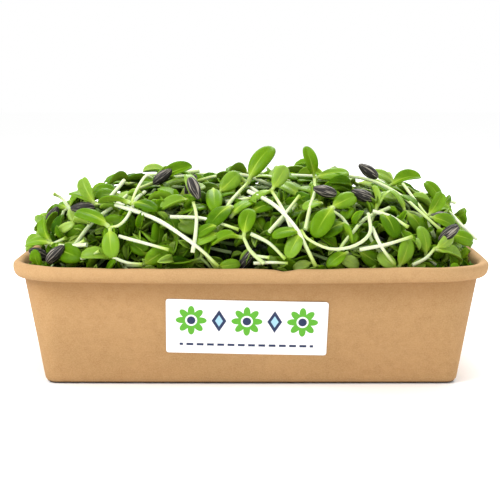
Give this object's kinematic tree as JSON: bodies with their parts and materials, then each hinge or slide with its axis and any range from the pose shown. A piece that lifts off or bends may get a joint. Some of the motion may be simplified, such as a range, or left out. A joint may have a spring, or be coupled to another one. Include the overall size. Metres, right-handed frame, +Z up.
{
  "type": "sunflower microgreens tray",
  "caption": "Open kraft-board tray with tapered walls and a rolled rim, heaped with loose cut sunflower shoots, some gripped by striped seed hulls; a paper label on the front.",
  "frame": {"origin": "centre of the tray's base on the table, under the middle of the whole part's box", "axes": "+X along the tray's long side, +Z up, -Y out of the wall with the label"},
  "size_m": [0.1894, 0.1352, 0.0923],
  "materials": {
    "kraft_board": "matte brown kraft board, pressed, with a rolled rim",
    "label_paper": null,
    "seed_leaf": "fleshy satin green seed leaves on pale white-green stems",
    "seed_hull": "dry black seed hull with grey stripes"
  },
  "bodies": {
    "root": {"tray": "kraft_board", "label": "label_paper", "packed_shoots": "seed_leaf", "shoot_01": "seed_leaf", "shoot_02": "seed_leaf", "shoot_03": "seed_leaf", "shoot_04": "seed_leaf", "shoot_05": "seed_leaf", "shoot_06": "seed_leaf", "shoot_07": "seed_leaf", "shoot_08": "seed_leaf", "shoot_09": "seed_leaf", "shoot_10": "seed_leaf", "shoot_11": "seed_leaf", "shoot_12": "seed_leaf", "shoot_13": "seed_leaf", "shoot_14": "seed_leaf", "shoot_15": "seed_leaf", "shoot_16": "seed_leaf", "shoot_17": "seed_leaf", "shoot_18": "seed_leaf", "shoot_19": "seed_leaf", "shoot_20": "seed_leaf", "shoot_21": "seed_leaf", "shoot_22": "seed_leaf", "shoot_23": "seed_leaf", "shoot_24": "seed_leaf", "shoot_25": "seed_leaf", "shoot_26": "seed_leaf", "shoot_27": "seed_leaf", "shoot_28": "seed_leaf", "shoot_29": "seed_leaf", "shoot_30": "seed_leaf", "shoot_31": "seed_leaf", "shoot_32": "seed_leaf", "shoot_33": "seed_leaf", "shoot_34": "seed_leaf", "shoot_35": "seed_leaf", "shoot_36": "seed_leaf", "shoot_37": "seed_leaf", "shoot_38": "seed_leaf", "shoot_39": "seed_leaf", "shoot_40": "seed_leaf", "shoot_41": "seed_leaf", "hull_01": "seed_hull", "hull_02": "seed_hull", "hull_03": "seed_hull", "hull_04": "seed_hull", "hull_05": "seed_hull", "hull_06": "seed_hull", "hull_07": "seed_hull", "hull_08": "seed_hull", "hull_09": "seed_hull", "hull_10": "seed_hull", "hull_11": "seed_hull", "hull_12": "seed_hull", "hull_13": "seed_hull", "hull_14": "seed_hull", "hull_15": "seed_hull"}
  },
  "joints": []
}
